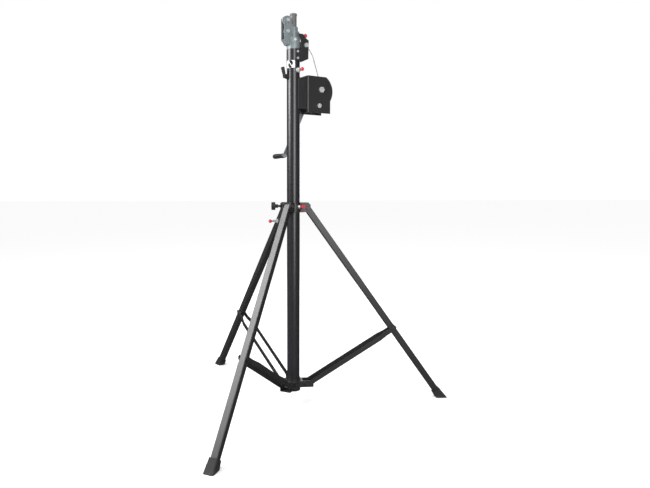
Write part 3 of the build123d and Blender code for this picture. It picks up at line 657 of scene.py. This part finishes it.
@dataclass
class Label:
    """White film label with a plain mark, wrapped round the front of the mast."""

    start: float = math.radians(-163.0)
    end: float = math.radians(-82.0)
    height: float = 33.5 * MM
    corner: float = 2.0 * MM
    film: float = 0.12 * MM
    mark_radius: float = 16.5 * MM
    mark_scale: float = 0.78
    mark_gap: float = 1.6 * MM
    mark_shift: float = 3.5 * MM
    mark_lean: float = math.radians(35.0)
    cell: float = 1.6 * MM

    def wrapped(
        self, name: str, outlines: Sequence[Sequence[tuple[float, float]]], radius: float, middle: float
    ) -> bpy.types.Object:
        """Lay flat outlines round the mast.

        Args:
            name: the piece's name.
            outlines: closed outlines of (along, up) points about the label's middle.
            radius: the radius that they lie at.
            middle: the label's middle height.

        Returns:
            The piece.
        """
        flat = bmesh.new()
        for outline in outlines:
            flat.faces.new([flat.verts.new((along, up, 0.0)) for along, up in outline])
        bmesh.ops.triangulate(flat, faces=flat.faces)
        for _ in range(6):
            long_edges = [e for e in flat.edges if e.calc_length() > self.cell]
            if not long_edges:
                break
            bmesh.ops.subdivide_edges(flat, edges=long_edges, cuts=1)
            bmesh.ops.triangulate(flat, faces=flat.faces)
        centre = (self.start + self.end) / 2
        for vertex in flat.verts:
            azimuth = centre + vertex.co.x / radius
            vertex.co = Heading(azimuth).at(radius, 0.0, middle + vertex.co.y)
        bmesh.ops.recalc_face_normals(flat, faces=flat.faces)
        data = bpy.data.meshes.new(name)
        flat.to_mesh(data)
        flat.free()
        data.polygons.foreach_set("use_smooth", [True] * len(data.polygons))
        piece = bpy.data.objects.new(name, data)
        bpy.context.scene.collection.objects.link(piece)
        thick = piece.modifiers.new("film", "SOLIDIFY")
        thick.thickness = self.film
        thick.offset = 0.0
        return piece

    def rounded(self, half_width: float, half_height: float) -> list[tuple[float, float]]:
        """Rectangle with round corners.

        Args:
            half_width: half its width.
            half_height: half its height.

        Returns:
            Its outline.
        """
        points = []
        for quarter, (sx, sy) in enumerate(((1, 1), (-1, 1), (-1, -1), (1, -1))):
            for step in range(6):
                angle = math.pi / 2 * (quarter + step / 5)
                points.append((
                    sx * (half_width - self.corner) + self.corner * math.cos(angle),
                    sy * (half_height - self.corner) + self.corner * math.sin(angle),
                ))
        return points

    def half_disc(self, facing: float, shift: float) -> list[tuple[float, float]]:
        """Half disc whose round side faces an angle, slid along its own diameter.

        Args:
            facing: the angle that the round side faces.
            shift: how far it is slid.

        Returns:
            Its outline.
        """
        slide = (math.cos(facing + math.pi / 2) * shift, math.sin(facing + math.pi / 2) * shift)
        away = (math.cos(facing) * self.mark_gap, math.sin(facing) * self.mark_gap)
        points = []
        for step in range(25):
            angle = facing + math.pi * (step / 24 - 0.5)
            points.append((
                slide[0] + away[0] + self.mark_radius * math.cos(angle) * self.mark_scale,
                slide[1] + away[1] + self.mark_radius * math.sin(angle) * self.mark_scale,
            ))
        return points

    def build(self) -> None:
        """Make the label and its mark."""
        low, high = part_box("mast_tube")
        radius = (high.x - low.x) / 2
        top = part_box("top_sleeve")[0].z - 1.0 * MM
        middle = top - self.height / 2
        half_width = (self.end - self.start) * radius / 2
        film = self.wrapped(
            "mast_label", [self.rounded(half_width, self.height / 2)], radius + 1.5 * self.film, middle
        )
        dress(film, FINISHES[Slot.LABEL], "mast")
        halves = [self.half_disc(self.mark_lean + turn, self.mark_shift) for turn in (0.0, math.pi)]
        mark = self.wrapped("label_mark", halves, radius + 3.0 * self.film, middle)
        dress(mark, MARK_INK, "mast")


@dataclass
class StrandedRope:
    """The bare run of the hoisting rope, laid up from six strands round the part's rope core."""

    strands: int = 6
    strand_radius: float = 0.52 * MM
    lay_radius: float = 1.12 * MM
    lay_length: float = 19.0 * MM
    step: float = 1.3 * MM
    over_drum: float = 14.0 * MM
    over_pulley: float = 6.0 * MM
    slices: int = 14
    half_slice: float = 9.0 * MM
    least_points: int = 6

    def route(self) -> list[Vector]:
        """Centre line of the bare run, from the rope's own outline.

        Returns:
            Evenly spaced points from the pulley to the drum.
        """
        rope = frame["nodes"]["hoist_rope"].data
        pulley = Vector(joint("head_pulley_turn")["pos_m"])
        drum = Vector(joint("drum_turn")["pos_m"])
        near = Vector(joint("drum_turn")["axis"])
        out = Vector((-near.y, near.x, 0.0))
        outer = [v.co for v in rope.vertices if v.co.dot(out) > pulley.dot(out)]
        rows: list[Vector] = []
        low, high = drum.z + self.over_drum, pulley.z + self.over_pulley
        for index in range(self.slices + 1):
            level = high + (low - high) * index / self.slices
            band = [p for p in outer if abs(p.z - level) < self.half_slice]
            if len(band) >= self.least_points:
                rows.append(sum(band, Vector()) / len(band))
        return self.resample(rows)

    def resample(self, rows: Sequence[Vector]) -> list[Vector]:
        """Evenly spaced points on straight runs.

        Args:
            rows: the corners.

        Returns:
            The points.
        """
        fine: list[Vector] = []
        for first, last in zip(rows, rows[1:]):
            steps = max(1, round((last - first).length / self.step))
            fine += [first.lerp(last, step / steps) for step in range(steps)]
        return fine + [rows[-1]]

    def build(self, path: Sequence[Vector]) -> None:
        """Lay the strands up along a path.

        Args:
            path: the centre line.
        """
        near = Vector(joint("drum_turn")["axis"])
        skins = []
        for strand in range(self.strands):
            line, travelled = [], 0.0
            for step, point in enumerate(path):
                ahead = path[min(step + 1, len(path) - 1)] - path[max(step - 1, 0)]
                across = ahead.normalized().cross(near)
                turn = math.tau * (strand / self.strands + travelled / self.lay_length)
                line.append(point + (near * math.cos(turn) + across * math.sin(turn)) * self.lay_radius)
                travelled += (path[min(step + 1, len(path) - 1)] - point).length
            skins.append(sweep(line, lambda step, side: self.strand_radius, 7))
        piece = add_mesh("hoist_rope_strands", *join_skins(skins))
        dress(piece, FINISHES[Slot.ROPE], "mast")


@dataclass
class HeadScrew:
    """Bright socket cap screw in the stage head's neck."""

    heading: Heading = field(default_factory=lambda: Heading(math.radians(-79.0)))
    rim: float = 28.6 * MM
    level: float = -10.5 * MM
    radius: float = 5.0 * MM
    depth: float = 5.0 * MM
    sunk: float = 2.0 * MM
    chamfer: float = 0.6 * MM
    socket: float = 2.6 * MM
    socket_depth: float = 2.6 * MM
    socket_cone: float = 0.5 * MM
    cone_tip: float = 0.3 * MM
    socket_rings: int = 3
    sides: int = 48

    def profile(self) -> list[tuple[float, float]]:
        """Radius and distance out of each ring, from the sunk foot to the bottom of the socket."""
        floor = self.depth - self.socket_depth
        return [
            (self.radius, -self.sunk), (self.radius, self.depth - self.chamfer),
            (self.radius - self.chamfer, self.depth), (self.socket, self.depth),
            (self.socket, floor), (self.cone_tip, floor - self.socket_cone),
        ]

    def across(self, reach: float, angle: float, hexagonal: bool) -> float:
        """Radius of a ring at an angle.

        Args:
            reach: its radius, or the radius to its corners.
            angle: the angle round the screw.
            hexagonal: whether the ring has six flat sides.

        Returns:
            The radius there.
        """
        if not hexagonal:
            return reach
        half = math.pi / 6
        return reach * math.cos(half) / math.cos((angle + half) % (2 * half) - half)

    def build(self) -> None:
        """Turn the head with its six-sided socket and set it in the neck."""
        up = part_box("mid_tube")[1].z + self.level
        rings = self.profile()
        plain = len(rings) - self.socket_rings
        vertices: list[Vector] = []
        for ring, (reach, out) in enumerate(rings):
            for side in range(self.sides):
                angle = math.tau * side / self.sides
                wide = self.across(reach, angle, ring >= plain)
                vertices.append(self.heading.at(
                    self.rim + out, wide * math.cos(angle), up + wide * math.sin(angle)
                ))
        faces: list[tuple[int, ...]] = []
        for ring in range(len(rings) - 1):
            here, there = ring * self.sides, (ring + 1) * self.sides
            for side in range(self.sides):
                after = (side + 1) % self.sides
                faces.append((here + side, here + after, there + after, there + side))
        faces.append(tuple(range(self.sides)))
        faces.append(tuple(range((len(rings) - 1) * self.sides, len(rings) * self.sides)))
        screw = add_mesh("head_screw", vertices, faces)
        for polygon in screw.data.polygons:
            polygon.use_smooth = False
        dress(screw, BOLT_ZINC, "mid_stage")


@dataclass
class Welds:
    """Weld beads of the mast, the head and the two tripod collars."""

    bead: WeldBead = field(default_factory=WeldBead)
    winch: Heading = field(default_factory=lambda: Heading(0.0))
    base_radius: float = 34.0 * MM
    base_side: float = 26.0 * MM
    base_low: float = 83.0 * MM
    base_high: float = 111.0 * MM
    collar_radius: float = 36.0 * MM
    collar_side: float = 19.6 * MM
    collar_short: float = 8.0 * MM
    mount_radius: float = 30.0 * MM
    mount_side: float = 28.2 * MM
    end_gap: float = 2.0 * MM
    neck_radius: float = 21.0 * MM
    neck_side: float = 15.6 * MM
    neck_up: float = 4.2 * MM
    neck_gap: float = 3.0 * MM
    neck_run: float = 54.0 * MM

    def pair(self, heading: Heading, radius: float, side: float, low: float, high: float) -> Skin:
        """Beads on both sides of one plate.

        Args:
            heading: the plate's heading.
            radius: the radius of the tube that it is welded to.
            side: half the distance between the beads.
            low: their foot.
            high: their top.

        Returns:
            The beads' vertices and faces.
        """
        return join_skins(self.bead.upright(heading, radius, way * side, low, high) for way in (-1, 1))

    def lugs(self, radius: float, side: float, low: float, high: float) -> Skin:
        """Beads on both sides of the three lugs of a collar.

        Args:
            radius: the collar's radius.
            side: half the width of a lug.
            low: the beads' foot.
            high: their top.

        Returns:
            The beads' vertices and faces.
        """
        headings = (Heading(math.tau * leg / 3) for leg in range(3))
        return join_skins(self.pair(heading, radius, side, low, high) for heading in headings)

    def neck(self) -> Skin:
        """Beads round the neck and along both cheeks of the stage head."""
        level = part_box("mid_tube")[1].z + self.neck_up
        circle = [Heading(math.tau * step / 48).at(self.neck_radius, 0.0, level) for step in range(48)]
        behind = Heading(self.winch.azimuth + math.pi)
        low, high = level + self.neck_gap, level + self.neck_run
        cheeks = self.pair(behind, self.neck_radius, self.neck_side, low, high)
        return join_skins([self.bead.skin(circle, closed=True), cheeks])

    def build(self) -> None:
        """Make every bead."""
        black = Slot.BLACK_STEEL
        base = self.lugs(self.base_radius, self.base_side, self.base_low, self.base_high)
        dress(add_mesh("base_collar_welds", *base), FINISHES[black], "mast")
        low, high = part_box("leg_collar")
        collar = self.lugs(
            self.collar_radius, self.collar_side, low.z + self.end_gap, high.z - self.collar_short
        )
        dress(add_mesh("leg_collar_welds", *collar), FINISHES[black], "leg_collar")
        low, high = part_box("winch_mount")
        mount = self.pair(
            self.winch, self.mount_radius, self.mount_side, low.z + self.end_gap, high.z - self.end_gap
        )
        dress(add_mesh("winch_mount_welds", *mount), FINISHES[black], "mast")
        head = add_mesh("stage_head_welds", *self.neck())
        dress(head, FINISHES[Slot.ZINC], "mid_stage")


@dataclass
class Studio:
    """Pale floor, soft boxes and the camera."""

    floor_size: float = 80.0
    floor_tone: Colour = (0.96, 0.96, 0.96)
    reflected_sky: Colour = (0.03, 0.03, 0.034)
    aim_height: float = 0.9
    lens: float = 31.24
    shift: float = 0.0487
    place: tuple[float, float, float] = (-0.2747, -2.6226, 1.0354)
    tilt: float = math.radians(84.225)
    pan: float = math.radians(-5.98)

    def soft_box(
        self, name: str, azimuth: float, distance: float, low: float, high: float, width: float, glow: float
    ) -> None:
        """Upright soft box that faces the mast.

        Args:
            name: the light's name.
            azimuth: its direction from the mast, in degrees.
            distance: how far off it stands.
            low: its lower edge.
            high: its upper edge.
            width: its width.
            glow: its radiance.
        """
        light = bpy.data.lights.new(name, "AREA")
        light.shape = "RECTANGLE"
        light.size, light.size_y = width, high - low
        light.energy = glow * math.pi * width * (high - low)
        box = bpy.data.objects.new(name, light)
        box.location = Heading(math.radians(azimuth)).at(distance, 0.0, (low + high) / 2)
        aim = Vector((0.0, 0.0, self.aim_height)) - box.location
        box.rotation_mode = "QUATERNION"
        box.rotation_quaternion = aim.to_track_quat("-Z", "Y")
        box.visible_camera = False
        bpy.context.scene.collection.objects.link(box)

    def build(self) -> None:
        """Make the floor, the sky, the lights and the camera."""
        half = self.floor_size / 2
        ends = ((-half, -half), (half, -half), (half, half), (-half, half))
        corners = [Vector((x, y, 0.0)) for x, y in ends]
        floor = add_mesh("floor", corners, [(0, 1, 2, 3)])
        pale = bpy.data.materials.new("pale_floor")
        Graph(pale).surface(Base_Color=self.floor_tone, Roughness=1.0, Specular_IOR_Level=0.0)
        floor.data.materials.append(pale)
        floor.visible_glossy = False

        world = bpy.data.worlds.new("studio")
        bpy.context.scene.world = world
        graph = Graph(world)
        seen = graph.node("ShaderNodeLightPath", output="Is Camera Ray")
        shiny = graph.node("ShaderNodeLightPath", output="Is Glossy Ray")
        glow = graph.blend(seen, graph.blend(shiny, WHITE, self.reflected_sky), WHITE)
        sky = graph.node("ShaderNodeBackground", None, {"Color": glow, "Strength": 1.0})
        graph.node("ShaderNodeOutputWorld", None, {"Surface": sky})

        self.soft_box("key_box", -170.0, 2.6, 1.35, 4.3, 1.7, 8.0)
        self.soft_box("front_box", -74.0, 3.4, 0.3, 3.4, 1.7, 3.2)
        self.soft_box("side_box", 146.0, 3.0, 2.4, 3.1, 0.9, 4.0)
        self.soft_box("back_box", 70.0, 3.2, 0.8, 3.0, 1.6, 2.4)

        lens = bpy.data.cameras.new("camera")
        lens.sensor_width = 36.0
        lens.lens = self.lens
        lens.shift_x = self.shift
        camera = bpy.data.objects.new("camera", lens)
        camera.location = self.place
        camera.rotation_euler = Euler((self.tilt, 0.0, self.pan))
        bpy.context.scene.collection.objects.link(camera)
        bpy.context.scene.camera = camera
        bpy.context.scene.view_settings.view_transform = "Standard"


@dataclass
class Stand:
    """The whole stand."""

    label: Label = field(default_factory=Label)
    rope: StrandedRope = field(default_factory=StrandedRope)

    def dress_nodes(self) -> None:
        """Give each part its finish."""
        slots = {row["node"]: Slot(row["material_slot"]) for row in frame["record"]["subparts"]}
        for name, node in frame["nodes"].items():
            finish = FINISHES[slots[name]]
            if name in BOLT_NODES:
                finish = BOLT_ZINC
            if name in COATED_BOLTS:
                finish = FINISHES[Slot.BLACK_STEEL]
            if name == "crank_arm":
                finish = FINISHES[Slot.ZINC]
            if not node.material_slots:
                node.data.materials.append(None)
            for place in node.material_slots:
                place.material = finish.material()
        log.info("dressed %d parts", len(frame["nodes"]))

    def build(self) -> None:
        """Make every piece and dress the parts."""
        self.dress_nodes()
        axis = Vector(joint("drum_turn")["axis"])
        winch = Heading(math.atan2(axis.x, -axis.y))
        self.label.build()
        self.rope.build(self.rope.route())
        HeadScrew().build()
        Welds(winch=winch).build()


def main() -> None:
    """Build the studio and the stand."""
    logging.basicConfig(level=logging.INFO, format="%(name)s: %(message)s")
    Studio().build()
    Stand().build()


if __name__ == "__main__":
    main()
